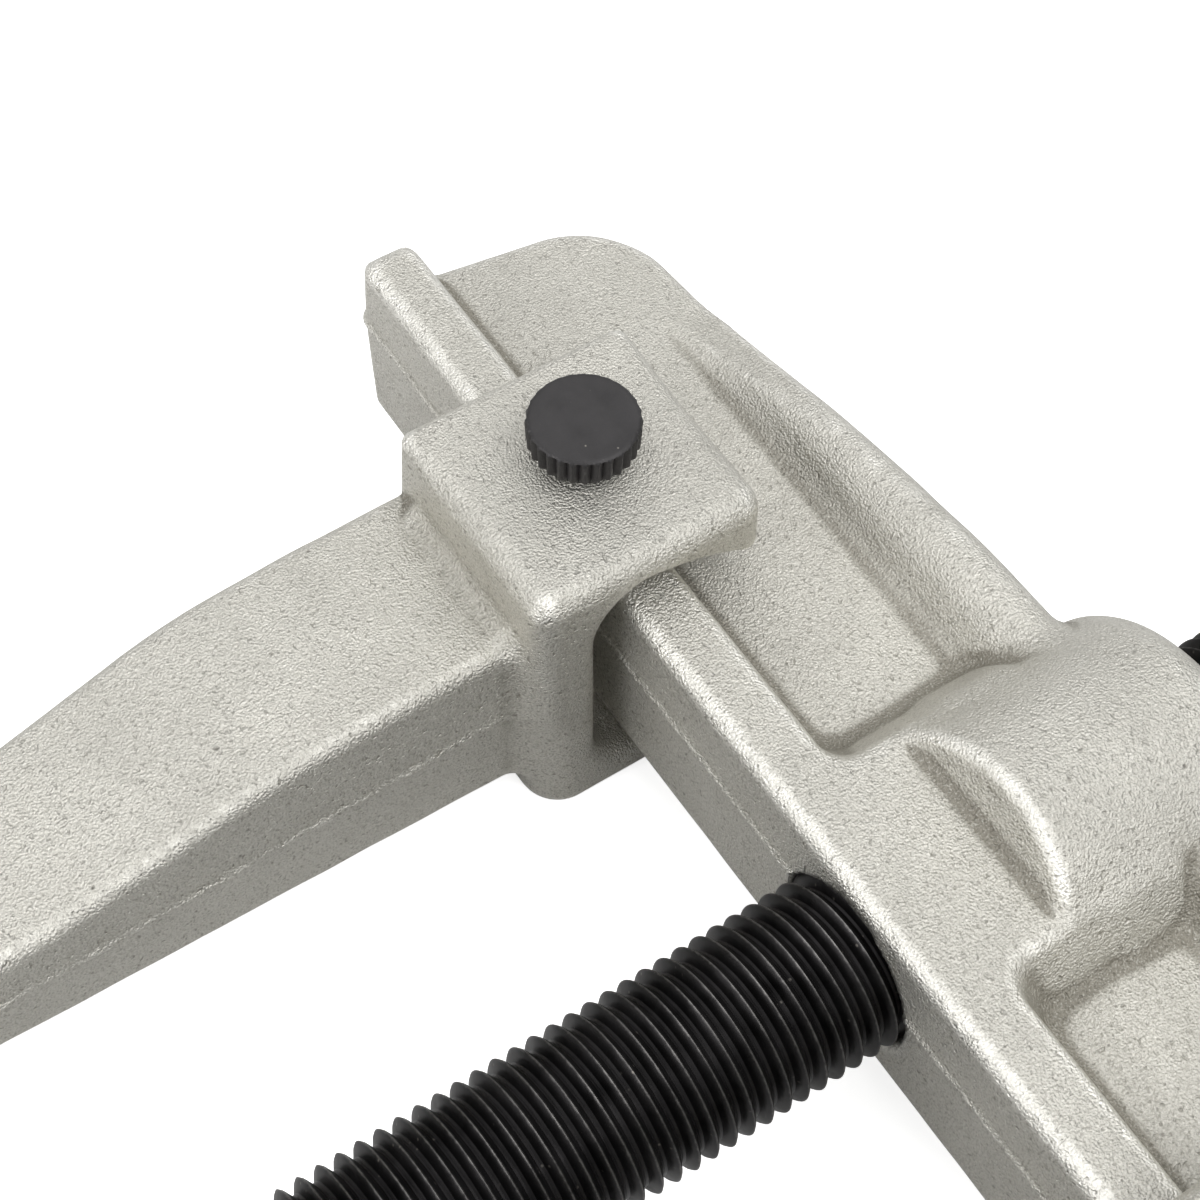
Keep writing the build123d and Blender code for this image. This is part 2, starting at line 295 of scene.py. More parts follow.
def settled(points, quads, rounds):
    """Points moved to the middle of their neighbours a few times: edges sink and coves fill."""
    a, b = quads.ravel(), np.roll(quads, -1, axis=1).ravel()
    count = np.bincount(a, minlength=len(points)) + np.bincount(b, minlength=len(points))
    for _ in range(rounds):
        total = [np.bincount(a, points[b, n], len(points)) + np.bincount(b, points[a, n], len(points))
                 for n in range(3)]
        points = np.stack(total, axis=1) / count[:, None]
    return points


def forged(field, spans, seam, step, places):
    """A forging as one mesh for each place. Its edge attribute is 0.5 on flats, up to 1 on outer edges
    and down to 0 in coves."""
    grid = [levels(lo, hi, step, seam if n == 2 else None) for n, (lo, hi) in enumerate(spans)]
    points, quads = skin(field, *grid)
    for _ in range(3):  # bring the points onto the surface
        value, grad = slope(field, points)
        move = grad * (value / np.maximum((grad ** 2).sum(1), 0.05))[:, None]
        far = np.maximum(np.linalg.norm(move, axis=1) / (0.5 * step), 1)
        points = points - move / far[:, None]
    grad = slope(field, points)[1]
    normal = grad / np.maximum(np.linalg.norm(grad, axis=1), 1e-6)[:, None]
    edge = 0.5 + 1.6 * ((points - settled(points, quads, 7)) * normal).sum(1)
    made = []
    for label, turn in places:
        put = place(points * np.array([turn, 1, 1]))
        put[:, 2] = np.maximum(put[:, 2], CAD_BOX[0].z)
        faces = quads if turn > 0 else quads[:, ::-1]
        mesh = bpy.data.meshes.new(label)
        mesh.vertices.add(len(put))
        mesh.vertices.foreach_set("co", put.ravel().astype(np.float32))
        mesh.loops.add(faces.size)
        mesh.loops.foreach_set("vertex_index", faces.ravel().astype(np.int32))
        mesh.polygons.add(len(faces))
        mesh.polygons.foreach_set("loop_start", np.arange(0, faces.size, 4, dtype=np.int32))
        mesh.update(calc_edges=True)
        mesh.attributes.new("edge", "FLOAT", "POINT").data.foreach_set(
            "value", np.clip(edge, 0, 1).astype(np.float32))
        mesh.shade_smooth()
        made.append(link(label, mesh))
    return made


def place(points):
    """Drawn points, in millimetres, to the frame's metres."""
    return np.asarray(points) * 0.001 + np.array([0.0, FRONT_FACE, MID_PLANE])


def link(name, mesh):
    thing = bpy.data.objects.new(name, mesh)
    bpy.context.scene.collection.objects.link(thing)
    return thing


def beam_field(s):
    """The crossbeam: front rail, web, back rail and threaded hub. Factors just below 1 make the distance
    to a sloping face true."""
    cove, round_, flash, wave = s.cove * 1e3, s.rail_edge * 1e3, s.flash * 1e3, s.ripple * 1e3

    def field(x, y, z):
        ax, az, part = np.abs(x), np.abs(z), z - PARTING
        # front rail and the flat in front of the hub, which share one top face
        back = (y - RAIL_DEPTH - 0.32 * (RAIL_HALF - az)) * 0.952
        cheek = (ax - 12.2 - 0.66 * (RAIL_HALF - az)) * 0.83
        front = 0.6 * ramp((ax - 34) / 62) + 0.03 * np.abs(part) - y
        plan = join(back, meet(cheek, y - 27, 1.0), 2.6)
        rail = meet(meet(plan, az - RAIL_HALF, 0.8), front, round_)
        rail = meet(rail, ax - RAIL_END + 0.02 * az, 2.4)
        # web
        behind = eased(ax, [0, 17, 26, 38, 50, 59, 70, 78, 90],
                       [36.4, 36.4, 36.2, 35.6, 34.4, 33.3, 32.2, 31.6, 31.0])
        rear = (y - behind) * 0.992
        end = (ax - WEB_END + 0.15 * (y - 6)) * 0.99
        rim = meet(rear, end, WEB_CORNER)
        web = meet(rim + 0.07 * az, az - WEB_HALF, 1.4)
        web = np.maximum(web, 4.0 - y)
        # back rail, sinking into the web
        height = eased(ax, [0, 24, 46, 67, 76, 90], [11.6, 11.6, 9.7, 5.9, 3.6, -5.0])
        foot = eased(ax, [0, 15, 45, 70, 90], [26.2, 26.3, 27.0, 27.6, 27.8])
        inner = (foot - y + 0.62 * (az - WEB_HALF)) * 0.85
        ridge = meet(meet(inner, rim + 0.09 * az, 1.2), (az - height) * 0.985,
                     np.clip(0.5 * (height - 5.6), 0.3, 2.4))
        hollow = 0.15 + cove * ramp((behind - 1.5 - y) / 4)
        body = join(web, ridge, hollow)
        body = join(body, rail, cove * 0.7)
        # hub
        around = np.hypot(x, z)
        step = (HUB_STEP - y + 0.45 * (az - RAIL_HALF)) * 0.91
        boss = meet(meet(around - HUB_RADIUS, y - HUB_REAR, 4.6), step, 0.9)
        soft = 0.15 + cove * np.maximum(0.55 * ramp((az - 10.6) / 1.6), ramp((y - 17) / 4))
        body = join(body, boss, soft)
        body = body - flash * np.exp(-(part / 0.42) ** 2) + wave * ripple(x, y, z, 9.0)
        return meet(body, BORE_RADIUS - around, 0.2)

    return field


def jaw_field(s):
    """A jaw, with x outwards: the slotted head, the arm and the hook."""
    cove, round_, flash, wave = s.cove * 1e3, s.head_edge * 1e3, s.flash * 1e3, s.ripple * 1e3

    def field(x, y, z):
        az, low = np.abs(z), ramp(-z / 6)
        top = az - HEAD_HALF
        inner = HEAD_INNER - 0.2 * low - x + 0.04 * np.maximum(z, 0)
        outer = x - HEAD_OUTER + 0.02 * az
        face = HEAD_FRONT - y + 0.03 * az
        rear = y - HEAD_REAR + 0.01 * az
        head = meet(meet(meet(inner, face, 2.4 + 2.0 * low), rear, 2.8), outer, 1.3)
        soft = round_ * (1 - 0.45 * ramp((x - 50) / 12) * (1 - low)) - 0.9 * low
        head = meet(head, top, soft)
        # arm
        edge = eased(y, [-112, -100, -56, -38.6, -25, -10], [52.4, 53.9, 60.0, 62.4, 63.1, 63.3], 4.0)
        upper = eased(y, [-112, -64, -36, 0], [5.5, 5.6, 9.6, 9.6], 6.0)
        lower = eased(y, [-112, -69, -48, -25, -12, 0], [7.6, 8.4, 10.2, 12.2, 13.2, 13.2], 4.0)
        near = eased(y, [-112, -66, -16, 0], [38.2, 38.2, 39.3, 39.3], 4.0)
        draft = 0.125 * np.maximum(z, 0) - 0.03 * np.minimum(z, 0)
        strip = np.maximum(near - x + draft, (x - edge) * 0.993 + 0.06 * az)
        strip = np.maximum(strip, y + 8.0)
        strip = meet(strip, -110.0 - y + 0.05 * az, 1.6)
        hook = outline(x, y, [(27.8, -101.4), (27.8, -103.6), (40.5, -109.6), (46.0, -109.6),
                              (50.4, -104.0), (50.4, -101.4)]) - 1.4 + 0.03 * az
        arm = join(strip, hook, 2.0)
        arm = meet(meet(arm, (z - upper) * 0.99, 1.5), (-z - lower) * 0.99, 1.5)
        hollow = 0.15 + cove * ramp((62.2 - x) / 4)
        body = join(head, arm, hollow)
        trim = 1 + 0.5 * np.sin(0.9 * y) * np.sin(0.37 * y + 1)
        trim = trim * ramp((-11 - y) / 5)
        body = body - flash * trim * np.exp(-(z / 0.4) ** 2) + wave * ripple(x, y, z, 8.0)
        # slot for the rail, mouth for the web, hole for the thumb screw
        slot = meet(meet(SLOT_FRONT - y, az - SLOT_HALF, 6.4), 0.61 * y + 0.793 * az - 16.9, 4.0)
        mouth = np.maximum(az - MOUTH_HALF, 4.0 - y)
        body = meet(body, -join(slot, mouth, 0.6), 1.9)
        hole = np.maximum(np.hypot(x - SCREW_X, y - SCREW_Y) - SCREW_HOLE, 5 - z)
        return meet(body, -hole, 0.3)

    return field


# ---------------------------------------------------------------- turned and threaded shapes

def turned(name, profile, axis="Y", segments=96):
    """A solid of revolution about Y or Z from (radius, height) points, in millimetres, ending on the axis."""
    verts, faces, rows = [], [], []
    for r, h in profile:
        if r < 1e-6:
            rows.append([len(verts)])
            verts.append((0, h, 0) if axis == "Y" else (0, 0, h))
            continue
        rows.append(list(range(len(verts), len(verts) + segments)))
        for n in range(segments):
            a = 2 * math.pi * n / segments
            c, d = r * math.cos(a), r * math.sin(a)
            verts.append((d, h, c) if axis == "Y" else (c, d, h))
    for low, high in zip(rows, rows[1:]):
        for n in range(segments):
            m = (n + 1) % segments
            if len(low) == 1:
                faces.append((low[0], high[m], high[n]))
            elif len(high) == 1:
                faces.append((low[n], low[m], high[0]))
            else:
                faces.append((low[n], low[m], high[m], high[n]))
    mesh = bpy.data.meshes.new(name)
    mesh.from_pydata(verts, [], faces)
    outwards(mesh)
    return link(name, mesh)


def outwards(mesh):
    """Weld a mesh's seams and turn its faces outwards."""
    bm = bmesh.new()
    bm.from_mesh(mesh)
    bmesh.ops.remove_doubles(bm, verts=bm.verts, dist=2e-4)
    bmesh.ops.dissolve_degenerate(bm, edges=bm.edges, dist=1e-5)
    bmesh.ops.recalc_face_normals(bm, faces=bm.faces)
    if bm.calc_volume(signed=True) < 0:
        bmesh.ops.reverse_faces(bm, faces=bm.faces)
    bm.to_mesh(mesh)
    bm.free()


def rounded(points, radius, steps=3):
    """A (radius, height) profile with its inner points rounded."""
    made = [points[0]]
    for before, here, after in zip(points, points[1:], points[2:]):
        p, a, b = (Vector(v) for v in (here, before, after))
        ua, ub = a - p, b - p
        reach = min(radius, ua.length / 2.2, ub.length / 2.2)
        start, end = p + ua.normalized() * reach, p + ub.normalized() * reach
        for n in range(steps + 1):
            t = n / steps
            q = start.lerp(p, t).lerp(p.lerp(end, t), t)
            made.append((q.x, q.y))
    return made + [points[-1]]


def closed(mesh):
    """True when every edge lies between two faces."""
    edges = np.empty(len(mesh.loops), np.int32)
    mesh.loops.foreach_get("edge_index", edges)
    return len(edges) > 0 and bool((np.bincount(edges, minlength=len(mesh.edges)) == 2).all())


def combine(thing, other, operation):
    """Add other to thing, cut it away, or keep what they share. Other is used up."""
    for part in (thing, other):
        if not closed(part.data):
            raise RuntimeError(f"{part.name} is open, so it can't be combined")
    change = thing.modifiers.new("combine", "BOOLEAN")
    change.operation = operation
    change.object = other
    change.solver = "MANIFOLD"
    result = evaluated(thing)
    thing.modifiers.remove(change)
    old, used, thing.data = thing.data, other.data, result
    if len(result.vertices) == len(old.vertices) or not closed(result):
        raise RuntimeError(f"{thing.name} was not combined")
    bpy.data.objects.remove(other)
    bpy.data.meshes.remove(old)
    bpy.data.meshes.remove(used)
    return thing


def evaluated(thing):
    """The mesh that thing's modifiers give."""
    graph = bpy.context.evaluated_depsgraph_get()
    graph.update()
    return bpy.data.meshes.new_from_object(thing.evaluated_get(graph))


class Tree:
    """A node tree with short calls for its sockets, nodes and arithmetic."""

    def __init__(self, name, kind, inputs, outputs):
        self.tree = bpy.data.node_groups.new(name, kind)
        for way, sockets in (("INPUT", inputs), ("OUTPUT", outputs)):
            for label, sort, value in sockets:
                made = self.tree.interface.new_socket(label, in_out=way, socket_type="NodeSocket" + sort)
                if value is not None:
                    made.default_value = value
        self.start = self.tree.nodes.new("NodeGroupInput")
        self.end = self.tree.nodes.new("NodeGroupOutput")

    def node(self, kind, settings=None, **links):
        made = self.tree.nodes.new(kind)
        for key, value in (settings or {}).items():
            setattr(made, key, value)
        for key, value in links.items():
            self.join(value, made.inputs[int(key[1:]) if key[0] == "_" else key.replace("_", " ")])
        return made

    def join(self, value, socket):
        if isinstance(value, bpy.types.NodeSocket):
            self.tree.links.new(value, socket)
        else:
            socket.default_value = value

    def calc(self, operation, *values):
        made = self.tree.nodes.new("ShaderNodeMath")
        made.operation = operation
        for n, value in enumerate(values):
            self.join(value, made.inputs[n])
        return made.outputs[0]

    def plus(self, a, b):
        return self.calc("ADD", a, b)

    def minus(self, a, b):
        return self.calc("SUBTRACT", a, b)

    def times(self, a, b):
        return self.calc("MULTIPLY", a, b)

    def fit(self, value, from_low, from_high, to_low=0.0, to_high=1.0, smooth=False):
        made = self.tree.nodes.new("ShaderNodeMapRange")
        made.interpolation_type = "SMOOTHSTEP" if smooth else "LINEAR"
        for n, v in enumerate((value, from_low, from_high, to_low, to_high)):
            self.join(v, made.inputs[n])
        return made.outputs[0]


def thread_tree():
    """Geometry Nodes: a right-hand thread about Y. The grid's rows run along the helix."""
    t = Tree("Thread", "GeometryNodeTree",
             [("Radius", "Float", 0.009), ("Depth", "Float", 0.0012), ("Pitch", "Float", 0.002),
              ("Start", "Float", 0.0), ("Turns", "Float", 70.0), ("Samples", "Int", 561),
              ("Segments", "Int", 73), ("Material", "Material", None)],
             [("Geometry", "Geometry", None)])
    i = t.start.outputs
    grid = t.node("GeometryNodeMeshGrid", Size_X=1.0, Size_Y=1.0)
    t.join(i["Samples"], grid.inputs["Vertices X"])
    t.join(i["Segments"], grid.inputs["Vertices Y"])
    at = t.node("ShaderNodeSeparateXYZ", _0=t.node("GeometryNodeInputPosition").outputs[0]).outputs
    along = t.times(t.plus(at["X"], 0.5), i["Turns"])
    turn = t.plus(at["Y"], 0.5)
    total = t.plus(along, turn)
    phase = t.calc("FRACT", t.plus(along, 0.0001))
    from_crest = t.times(t.calc("ABSOLUTE", t.minus(phase, 0.5)), 2.0)
    cut = t.fit(from_crest, 0.12, 0.80)
    radius = t.minus(i["Radius"], t.times(cut, i["Depth"]))
    first = t.calc("GREATER_THAN", total, 1.0001)
    last = t.calc("LESS_THAN", total, t.minus(i["Turns"], 0.0001))
    radius = t.times(radius, t.times(first, last))
    held = t.calc("MINIMUM", t.calc("MAXIMUM", total, 1.0), i["Turns"])
    y = t.plus(i["Start"], t.times(held, i["Pitch"]))
    angle = t.times(turn, 2 * math.pi)
    where = t.node("ShaderNodeCombineXYZ", X=t.times(radius, t.calc("SINE", angle)), Y=y,
                   Z=t.times(radius, t.calc("COSINE", angle)))
    moved = t.node("GeometryNodeSetPosition", Geometry=grid.outputs[0], Position=where.outputs[0])
    merged = t.node("GeometryNodeMergeByDistance", Geometry=moved.outputs[0], Distance=3e-4)
    real = t.node("GeometryNodeRealizeInstances", Geometry=merged.outputs[0])
    painted = t.node("GeometryNodeSetMaterial", Geometry=real.outputs[0], Material=i["Material"])
    t.join(painted.outputs[0], t.end.inputs[0])
    return t.tree


def flute_tree():
    """Geometry Nodes: straight rounded flutes round a head that stands on Z."""
    t = Tree("Fluted head", "GeometryNodeTree",
             [("Geometry", "Geometry", None), ("Flutes", "Int", 28), ("Depth", "Float", 0.0004),
              ("Rim", "Float", 0.0035), ("Run", "Float", 0.0005), ("Bore", "Float", 0.0045),
              ("Material", "Material", None)],
             [("Geometry", "Geometry", None)])
    i = t.start.outputs
    position = t.node("GeometryNodeInputPosition").outputs[0]
    at = t.node("ShaderNodeSeparateXYZ", _0=position).outputs
    angle = t.calc("ARCTAN2", at["Y"], at["X"])
    wave = t.calc("ABSOLUTE", t.calc("SINE", t.times(angle, t.times(i["Flutes"], 0.5))))
    groove = t.calc("POWER", t.minus(1.0, wave), 0.8)
    radius = t.calc("SQRT", t.plus(t.times(at["X"], at["X"]),
                                 t.times(at["Y"], at["Y"])))
    below = t.fit(at["Z"], t.plus(i["Rim"], i["Run"]), i["Rim"], smooth=True)
    outside = t.fit(radius, i["Bore"], t.plus(i["Bore"], i["Run"]))
    share = t.times(t.times(groove, below), outside)
    pull = t.calc("DIVIDE", t.times(share, i["Depth"]), t.calc("MAXIMUM", radius, 1e-6))
    shift = t.node("ShaderNodeCombineXYZ", X=t.times(at["X"], t.times(pull, -1.0)),
                   Y=t.times(at["Y"], t.times(pull, -1.0)))
    moved = t.node("GeometryNodeSetPosition", Geometry=i["Geometry"], Offset=shift.outputs[0])
    real = t.node("GeometryNodeRealizeInstances", Geometry=moved.outputs[0])
    painted = t.node("GeometryNodeSetMaterial", Geometry=real.outputs[0], Material=i["Material"])
    t.join(painted.outputs[0], t.end.inputs[0])
    return t.tree


def grown(thing, tree, values):
    """Run a geometry tree on thing with the named values and keep the result as its mesh."""
    change = thing.modifiers.new(tree.name, "NODES")
    change.node_group = tree
    for item in tree.interface.items_tree:
        if item.item_type == "SOCKET" and item.in_out == "INPUT" and item.name in values:
            change[item.identifier] = values[item.name]
    result = evaluated(thing)
    thing.modifiers.remove(change)
    thing.data = result
    return thing


def thread(name, radius, depth, pitch, low, high, segments, material, samples=8):
    """A threaded rod about Y that runs at least one turn past low and high, with samples rows a turn."""
    turns = int(math.ceil((high - low) / pitch)) + 4
    blank = link(name, bpy.data.meshes.new(name))
    grown(blank, group("Thread", thread_tree),
          {"Radius": radius, "Depth": depth, "Pitch": pitch, "Start": low - 2.5 * pitch,
           "Turns": float(turns), "Samples": turns * samples + 1, "Segments": segments + 1,
           "Material": material})
    outwards(blank.data)
    return blank


def finish_piece(thing, body, slot, node, sharp=None):
    """Give a finished piece its material and its body, and hide the CAD node it stands for."""
    thing.data.materials.clear()
    thing.data.materials.append(finish(slot))
    thing.data.shade_smooth()
    if sharp is not None:
        thing.data.set_sharp_from_angle(angle=math.radians(sharp))
    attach(thing, body)
    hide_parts(node)


# ---------------------------------------------------------------- finishes

def grain_group():
    """Blasted grain: fine dimples and a few deeper pits, with a mask for painted glints."""
    t = Tree("Blasted grain", "ShaderNodeTree",
             [("Position", "Vector", None), ("Size", "Float", 0.0004), ("Pits", "Float", 0.35)],
             [("Height", "Float", None), ("Painted glint", "Float", None), ("Cavity", "Float", None)])
    i = t.start.outputs
    scale = t.calc("DIVIDE", 1.0, i["Size"])
    fine = t.node("ShaderNodeTexNoise", Vector=i["Position"], Scale=scale, Detail=3.0, Roughness=0.62)
    dimple = t.node("ShaderNodeTexVoronoi", {"feature": "SMOOTH_F1"}, Vector=i["Position"],
                    Scale=t.times(scale, 0.9), Smoothness=0.25)
    coarse = t.node("ShaderNodeTexNoise", Vector=i["Position"], Scale=t.times(scale, 0.42),
                    Detail=1.5)
    pit = t.fit(coarse.outputs["Fac"], 0.60, 0.74, 0.0, 1.0, True)
    height = t.plus(t.times(fine.outputs["Fac"], 0.9),
                   t.times(dimple.outputs["Distance"], -0.55))
    height = t.minus(height, t.times(pit, i["Pits"]))
    t.join(height, t.end.inputs["Height"])
    t.join(t.fit(fine.outputs["Fac"], 0.52, 0.70), t.end.inputs["Painted glint"])
    t.join(t.calc("MAXIMUM", t.fit(fine.outputs["Fac"], 0.48, 0.30), pit), t.end.inputs["Cavity"])
    return t.tree


def patches_group():
    """Slow uneven patches and a scatter of dark specks."""
    t = Tree("Patches and specks", "ShaderNodeTree",
             [("Position", "Vector", None), ("Size", "Float", 0.012), ("Speck size", "Float", 0.0016)],
             [("Patches", "Float", None), ("Specks", "Float", None)])
    i = t.start.outputs
    slow = t.node("ShaderNodeTexNoise", Vector=i["Position"], Scale=t.calc("DIVIDE", 1.0, i["Size"]),
                  Detail=4.0, Roughness=0.55)
    spots = t.node("ShaderNodeTexVoronoi", Vector=i["Position"],
                   Scale=t.calc("DIVIDE", 1.0, i["Speck size"]), Randomness=1.0)
    chance = t.node("ShaderNodeTexNoise", Vector=i["Position"],
                    Scale=t.calc("DIVIDE", 0.4, i["Speck size"]), Detail=0.0)
    near = t.fit(spots.outputs["Distance"], 0.16, 0.05)
    t.join(t.fit(slow.outputs["Fac"], 0.32, 0.68), t.end.inputs["Patches"])
    t.join(t.times(near, t.fit(chance.outputs["Fac"], 0.60, 0.66)), t.end.inputs["Specks"])
    return t.tree


def wear_group():
    """Edge wear broken up by noise: a mask from how far a point stands out, and a cove mask used for painted
    shade in hollows.
    """
    t = Tree("Edge wear", "ShaderNodeTree",
             [("Position", "Vector", None), ("Stand", "Float", 0.5), ("Start", "Float", 0.56),
              ("Full", "Float", 0.8), ("Break size", "Float", 0.0015), ("Break", "Float", 0.3)],
             [("Wear", "Float", None), ("Cove", "Float", None)])
    i = t.start.outputs
    broken = t.node("ShaderNodeTexNoise", Vector=i["Position"],
                    Scale=t.calc("DIVIDE", 1.0, i["Break size"]), Detail=3.0, Roughness=0.65)
    swing = t.times(t.minus(broken.outputs["Fac"], 0.5), i["Break"])
    stand = t.plus(i["Stand"], swing)
    t.join(t.fit(stand, i["Start"], i["Full"], smooth=True), t.end.inputs["Wear"])
    t.join(t.fit(i["Stand"], 0.47, 0.28, smooth=True), t.end.inputs["Cove"])
    return t.tree


class Paint:
    """A material with its Principled BSDF and short calls for nodes."""

    def __init__(self, name, **constants):
        self.material = bpy.data.materials.new(name)
        self.material.use_nodes = True
        self.tree = self.material.node_tree
        self.shader = self.tree.nodes["Principled BSDF"]
        for key, value in constants.items():
            self.shader.inputs[key.replace("_", " ")].default_value = value
        coordinates = self.tree.nodes.new("ShaderNodeTexCoord").outputs
        self.position, self.facing = coordinates["Object"], coordinates["Normal"]

    node, join, fit = Tree.node, Tree.join, Tree.fit
    calc, plus, minus, times = Tree.calc, Tree.plus, Tree.minus, Tree.times

    def group(self, tree, **links):
        made = self.tree.nodes.new("ShaderNodeGroup")
        made.node_tree = tree
        if "Position" in made.inputs:
            self.join(self.position, made.inputs["Position"])
        for key, value in links.items():
            self.join(value, made.inputs[key.replace("_", " ")])
        return made.outputs

    def mix(self, share, a, b):
        made = self.tree.nodes.new("ShaderNodeMix")
        made.data_type = "RGBA"
        self.join(share, made.inputs[0])
        for value, socket in ((a, made.inputs[6]), (b, made.inputs[7])):
            self.join(value if isinstance(value, bpy.types.NodeSocket) else (*value, 1.0), socket)
        return made.outputs[2]

    def bump(self, height, distance, strength=1.0, normal=None):
        made = self.node("ShaderNodeBump", Strength=strength, Distance=distance, Height=height)
        if normal is not None:
            self.join(normal, made.inputs["Normal"])
        return made.outputs[0]

    def finish(self, **links):
        for key, value in links.items():
            self.join(value, self.shader.inputs[key.replace("_", " ")])
        return self.material


FINISHES = {}


def finish(name):
    """The finish of that name, made when it is first asked for."""
    if name not in FINISHES:
        FINISHES[name] = FINISH_MAKERS[name](bpy.context.scene.puller_finish)
    return FINISHES[name]


def group(name, maker):
    """The node group of that name, made when it is first asked for."""
    return bpy.data.node_groups.get(name) or maker()


def forged_nickel(s):
    """Shot-blasted forging with matt nickel plating, rubbed bright along its edges, partly real wear and
    partly painted highlight. Painted shade darkens coves and the grain on steep side faces; painted glints
    lighten the grain.
    """
    p = Paint("forged_nickel", Metallic=1.0)
    stand = p.node("ShaderNodeAttribute", {"attribute_name": "edge"}).outputs["Fac"]
    grain = p.group(group("Blasted grain", grain_group), Size=s.grain, Pits=0.5)
    patch = p.group(group("Patches and specks", patches_group), Size=0.011, Speck_size=0.0019)
    wear = p.group(group("Edge wear", wear_group), Stand=stand, Start=0.60, Full=0.90, Break=0.30)
    colour = p.mix(patch["Patches"], tuple(0.94 * c for c in s.nickel), tuple(1.05 * c for c in s.nickel))
    # Painted shade: coves and corners darkened toward the shade colour.
    colour = p.mix(wear["Cove"], colour, tuple(s.nickel_pit_and_cove_shade))
    # Edges lightened: partly real rubbed wear, partly painted highlight.
    colour = p.mix(p.times(wear["Wear"], 0.85), colour, tuple(s.nickel_rubbed_and_highlight))
    # Grain pits darkened, weakly on tops and strongly on steep side faces: painted shade on the sides.
    steep = p.node("ShaderNodeSeparateXYZ", _0=p.facing)
    steep = p.fit(p.calc("ABSOLUTE", steep.outputs["Z"]), 0.75, 0.25)
    dark = p.times(grain["Cavity"], p.fit(steep, 0.0, 1.0, 0.28, 0.95))
    colour = p.mix(dark, colour, tuple(s.nickel_pit_and_cove_shade))
    # Painted glints: bright flecks in the grain.
    colour = p.mix(p.times(grain["Painted glint"], 0.45), colour, tuple(s.nickel_rubbed_and_highlight))
    colour = p.mix(p.times(patch["Specks"], 0.55), colour, (0.12, 0.11, 0.09))
    rough = p.fit(patch["Patches"], 0.0, 1.0, 0.49, 0.42)
    rough = p.minus(rough, p.times(wear["Wear"], 0.10))
    rough = p.plus(rough, p.times(wear["Cove"], 0.12))
    slow = p.node("ShaderNodeTexNoise", Vector=p.position, Scale=620.0, Detail=2.0)
    normal = p.bump(slow.outputs["Fac"], 0.00008, 0.2)
    strength = p.fit(wear["Wear"], 0.0, 1.0, 1.0, 0.7)
    normal = p.bump(grain["Height"], 0.00022, strength, normal)
    return p.finish(Base_Color=colour, Roughness=rough, Normal=normal)


def black_oxide(s):
    """Oiled black oxide on the rolled thread, rubbed grey on the crests."""
    p = Paint("black_oxide", Metallic=0.85)
    at = p.node("ShaderNodeSeparateXYZ", _0=p.position).outputs
    up = p.minus(at["Z"], MID_PLANE)
    radius = p.calc("SQRT", p.plus(p.times(at["X"], at["X"]), p.times(up, up)))
    crest = p.fit(radius, 0.0086, 0.00893)
    wear = p.group(group("Edge wear", wear_group), Stand=crest, Start=0.5, Full=1.15, Break_size=0.0007,
                   Break=0.9)
    patch = p.group(group("Patches and specks", patches_group), Size=0.004, Speck_size=0.0012)
    colour = p.mix(patch["Patches"], tuple(0.6 * c for c in s.oxide), tuple(1.5 * c for c in s.oxide))
    colour = p.mix(p.times(wear["Wear"], 0.85), colour, tuple(s.oxide_worn))
    colour = p.mix(p.times(patch["Specks"], 0.5), colour, (0.3, 0.28, 0.25))
    rough = p.fit(patch["Patches"], 0.0, 1.0, 0.30, 0.44)
    drag = p.node("ShaderNodeMapping", Vector=p.position, Scale=(900.0, 4200.0, 900.0))
    line = p.node("ShaderNodeTexNoise", Vector=drag.outputs[0], Scale=1.0, Detail=2.0)
    return p.finish(Base_Color=colour, Roughness=rough, Normal=p.bump(line.outputs["Fac"], 0.00002, 0.5))


def black_screw(s):
    """Matt black oxide on the thumb screws, with chips at the rim."""
    p = Paint("black_screw", Metallic=0.55)
    stand = p.node("ShaderNodeNewGeometry").outputs["Pointiness"]
    wear = p.group(group("Edge wear", wear_group), Stand=stand, Start=0.56, Full=0.70, Break_size=0.0007,
                   Break=0.3)
    grain = p.group(group("Blasted grain", grain_group), Size=0.00022, Pits=0.2)
    patch = p.group(group("Patches and specks", patches_group), Size=0.003, Speck_size=0.0009)
    base = tuple(1.5 * c for c in s.oxide)
    colour = p.mix(patch["Patches"], base, tuple(1.5 * c for c in base))
    colour = p.mix(p.times(wear["Wear"], 0.8), colour, tuple(1.6 * c for c in s.oxide_worn))
    colour = p.mix(p.times(patch["Specks"], 0.7), colour, (0.34, 0.32, 0.28))
    rough = p.fit(patch["Patches"], 0.0, 1.0, 0.44, 0.56)
    return p.finish(Base_Color=colour, Roughness=rough, Normal=p.bump(grain["Height"], 0.00003, 0.7))


def bright_steel(s):
    """Hardened turned steel: fine rings left by the tool, light oil stains."""
    p = Paint("bright_steel", Metallic=1.0)
    patch = p.group(group("Patches and specks", patches_group), Size=0.004, Speck_size=0.0012)
    ring = p.node("ShaderNodeTexWave", {"bands_direction": "Y"}, Vector=p.position, Scale=900.0,
                  Distortion=0.6, Detail=2.0, Detail_Scale=1.5)
    colour = p.mix(patch["Patches"], tuple(0.85 * c for c in s.steel), tuple(s.steel))
    colour = p.mix(p.times(patch["Specks"], 0.5), colour, (0.16, 0.13, 0.10))
    rough = p.fit(patch["Patches"], 0.0, 1.0, 0.34, 0.22)
    return p.finish(Base_Color=colour, Roughness=rough, Normal=p.bump(ring.outputs["Fac"], 0.00001, 0.6))


